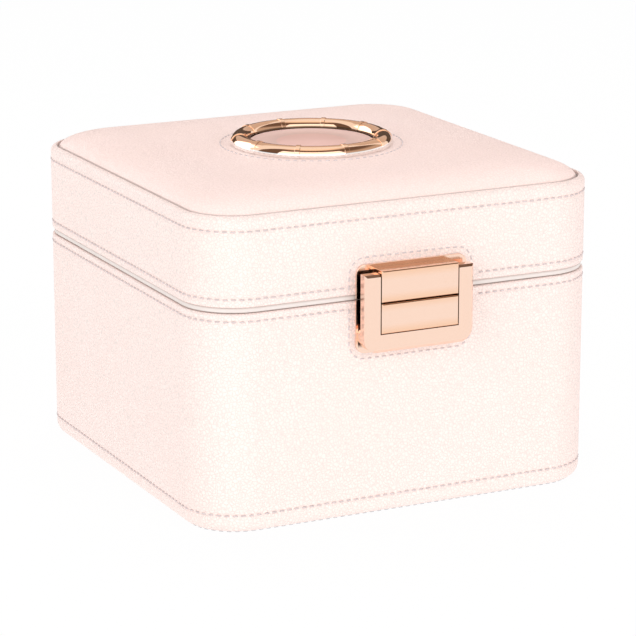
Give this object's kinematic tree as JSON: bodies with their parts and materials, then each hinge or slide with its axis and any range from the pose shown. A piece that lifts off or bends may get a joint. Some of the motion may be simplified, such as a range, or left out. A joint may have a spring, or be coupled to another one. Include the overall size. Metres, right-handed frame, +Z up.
{
  "type": "jewellery box",
  "caption": "Square leather-covered jewellery box with a padded hinged lid, ring ornament, push clasp, lid mirror and lift-out ring tray.",
  "frame": {"origin": "middle of the flat underside that the box stands on", "axes": "+X to the right along the clasp face, +Y to the back, +Z up"},
  "size_m": [0.17, 0.1853, 0.1327],
  "materials": {
    "leather_blush": "fine pebble grain, satin",
    "velvet_cream": "short pile velvet",
    "board": "fibreboard",
    "felt_grey": "felt",
    "foam": "open foam",
    "rim_grey": "satin edging",
    "rose_gold": "polished rose gold plating",
    "spring_steel": "bright strip",
    "mirror": "silvered glass",
    "disc_pink": "glossy"
  },
  "bodies": {
    "body": {"base_sheet": "felt_grey", "base_board": "board", "body_wall": "board", "body_cover": "leather_blush", "body_lining": "velvet_cream", "floor_pad": "velvet_cream", "divider_along": "velvet_cream", "divider_across": "velvet_cream", "tray_rail_left": "velvet_cream", "tray_rail_right": "velvet_cream", "clasp_frame": "rose_gold", "clasp_frame_nuts": "rose_gold", "button_spring": "spring_steel", "hinge_left_body_leaf": "rose_gold", "hinge_right_body_leaf": "rose_gold", "hinge_left_pin": "rose_gold", "hinge_right_pin": "rose_gold", "hinge_body_screws": "rose_gold"},
    "lid": {"lid_wall": "board", "lid_board": "board", "lid_cover": "leather_blush", "lid_foam": "foam", "lid_top_cover": "leather_blush", "lid_rim_band": "rim_grey", "lid_lining": "velvet_cream", "mirror_glass": "mirror", "mirror_frame": "rose_gold", "ring": "rose_gold", "ring_disc": "disc_pink", "clasp_lid_plate": "rose_gold", "clasp_tongue": "rose_gold", "clasp_lid_nuts": "rose_gold", "hinge_left_lid_leaf": "rose_gold", "hinge_right_lid_leaf": "rose_gold", "hinge_lid_screws": "rose_gold"},
    "tray": {"tray_wall": "velvet_cream", "tray_floor": "velvet_cream", "tray_divider_along": "velvet_cream", "tray_divider_across": "velvet_cream", "ring_rolls": "velvet_cream"},
    "button": {"push_button": "rose_gold"}
  },
  "joints": [
    {"name": "lid_hinge", "type": "hinge", "parent": "body", "child": "lid", "pos_m": [0, 0.0875, 0.086], "axis": [-1, 0, 0], "range_deg": [0, 100]},
    {"name": "tray_lift", "type": "slide", "parent": "body", "child": "tray", "axis": [0, 0, 1], "range_m": [0, 0.0275]},
    {"name": "button_press", "type": "slide", "parent": "body", "child": "button", "axis": [0, 1, 0], "range_m": [0, 0.0014], "stiffness_N_per_m": 500, "springref_m": -0.002, "deforming": ["button_spring"]}
  ]
}
